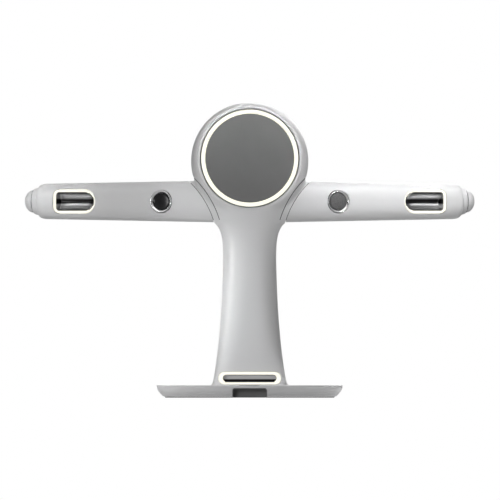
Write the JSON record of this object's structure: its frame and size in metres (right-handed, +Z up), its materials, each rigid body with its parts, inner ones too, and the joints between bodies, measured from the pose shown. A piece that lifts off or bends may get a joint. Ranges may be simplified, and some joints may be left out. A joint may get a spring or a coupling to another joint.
{
  "type": "phone charging kiosk",
  "caption": "Counter-top charging kiosk: round lit pad on a waisted column, swept arms with lit pockets, push-buttons and end knobs, a lit phone slot in the foot and a flat splayed base.",
  "frame": {"origin": "on the counter, under the middle of the underside pad", "axes": "+X to the right of someone facing the front, -Y out of the front, +Z up"},
  "size_m": [0.6596, 0.204, 0.4328],
  "materials": {
    "white_casing": "satin white moulded casing",
    "lit_diffuser": "opal light diffuser, warm white when lit",
    "dark_glass": "glossy dark face",
    "chrome": "polished",
    "grey_rubber": "matt",
    "dark_plastic": "dark moulded plastic",
    "steel": "plain steel",
    "aluminium": "machined and cast",
    "circuit_board": "green solder mask with components",
    "copper_winding": null,
    "ferrite": "dark ferrite sheet"
  },
  "bodies": {
    "kiosk": {"base_cover": "white_casing", "column_front_shell": "white_casing", "column_rear_cover": "white_casing", "arm_front_shell_left": "white_casing", "arm_front_shell_right": "white_casing", "arm_rear_cover_left": "white_casing", "arm_rear_cover_right": "white_casing", "end_collar_left": "white_casing", "end_collar_right": "white_casing", "base_weight": "steel", "flap_pin": "steel", "flap_spring": "steel", "rear_cover_screw_1": "steel", "rear_cover_screw_2": "steel", "rear_cover_screw_3": "steel", "rear_cover_screw_4": "steel", "spine_screw_1": "steel", "spine_screw_2": "steel", "arm_cover_screw_left": "steel", "arm_cover_screw_right": "steel", "underside_pad": "grey_rubber", "notch_liner": "dark_plastic", "dc_inlet": "dark_plastic", "phone_cradle": "dark_plastic", "button_switch_left": "dark_plastic", "button_switch_right": "dark_plastic", "knob_encoder_left": "dark_plastic", "knob_encoder_right": "dark_plastic", "spine_post": "aluminium", "cross_bracket": "aluminium", "head_carrier": "aluminium", "arm_spar_left": "aluminium", "arm_spar_right": "aluminium", "main_board": "circuit_board", "power_board": "circuit_board", "led_ring_board": "circuit_board", "head_glass": "dark_glass", "light_ring": "lit_diffuser", "slot_frame": "lit_diffuser", "pocket_frame_left": "lit_diffuser", "pocket_frame_right": "lit_diffuser", "head_coil": "copper_winding", "cradle_coil": "copper_winding", "pocket_coil_left": "copper_winding", "pocket_coil_right": "copper_winding", "coil_shield": "ferrite", "slot_throat": "chrome", "pocket_liner_left": "chrome", "pocket_liner_right": "chrome", "button_bezel_left": "chrome", "button_bezel_right": "chrome"},
    "left_button": {"button_cap_left": "dark_glass"},
    "right_button": {"button_cap_right": "dark_glass"},
    "left_knob": {"end_knob_left": "white_casing", "knob_shaft_left": "steel"},
    "right_knob": {"end_knob_right": "white_casing", "knob_shaft_right": "steel"},
    "slot_flap": {"slot_flap": "chrome"}
  },
  "joints": [
    {"name": "left_button_press", "type": "slide", "parent": "kiosk", "child": "left_button", "axis": [0.309, 0.9511, 0], "range_m": [0, 0.002], "stiffness_N_per_m": 600, "springref_m": -0.0005},
    {"name": "left_knob_turn", "type": "hinge", "parent": "kiosk", "child": "left_knob", "pos_m": [-0.31628, 0.08177, 0.288], "axis": [-0.9511, 0.309, 0], "continuous": true},
    {"name": "right_button_press", "type": "slide", "parent": "kiosk", "child": "right_button", "axis": [-0.309, 0.9511, 0], "range_m": [0, 0.002], "stiffness_N_per_m": 600, "springref_m": -0.0005},
    {"name": "right_knob_turn", "type": "hinge", "parent": "kiosk", "child": "right_knob", "pos_m": [0.31628, 0.08177, 0.288], "axis": [0.9511, 0.309, 0], "continuous": true},
    {"name": "slot_flap_swing", "type": "hinge", "parent": "kiosk", "child": "slot_flap", "pos_m": [0, -0.0375, 0.0372], "axis": [1, 0, 0], "range_deg": [0, 76], "stiffness_Nm_per_rad": 0.01, "springref_deg": -8.59}
  ]
}
